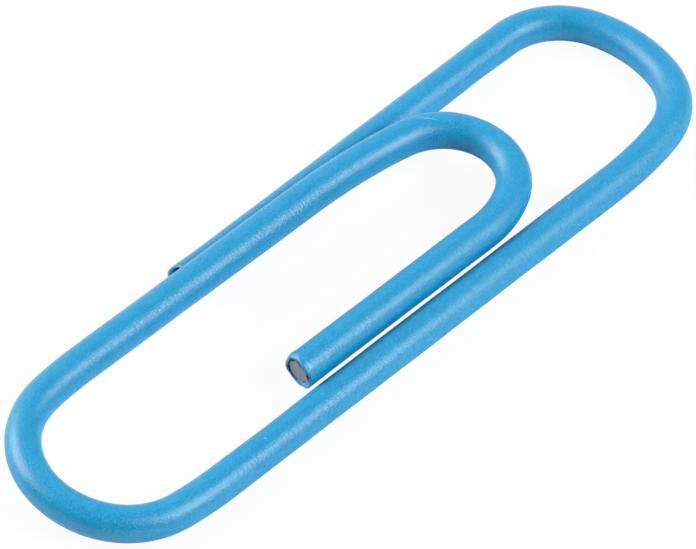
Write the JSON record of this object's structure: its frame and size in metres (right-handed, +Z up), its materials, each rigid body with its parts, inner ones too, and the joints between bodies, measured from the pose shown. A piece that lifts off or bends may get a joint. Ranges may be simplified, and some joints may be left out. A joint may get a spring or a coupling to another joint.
{
  "type": "paper clip",
  "caption": "Looped wire paper clip: steel wire in a satin blue plastic coating, with a springy inner tongue that lifts about the end bend to grip sheets of paper.",
  "frame": {"origin": "middle of the clip's bounding box, on the surface that it lies on", "axes": "+X along the clip from the end bend to the big bend, +Y across it from leg 2 to leg 1, +Z up out of the plane of the outer loop"},
  "size_m": [0.028, 0.008, 0.002],
  "materials": {
    "steel": "sheared",
    "coating": "satin"
  },
  "bodies": {
    "outer_loop": {"core_outer_loop": "steel", "coating_outer_loop": "coating"},
    "tongue": {"core_tongue": "steel", "coating_tongue": "coating"}
  },
  "joints": [
    {"name": "tongue_flex", "type": "hinge", "parent": "outer_loop", "child": "tongue", "pos_m": [-0.01342, -0.00052, 0.00102], "axis": [0, -0.9888, -0.1496], "range_deg": [0, 6], "stiffness_Nm_per_rad": 0.38}
  ]
}
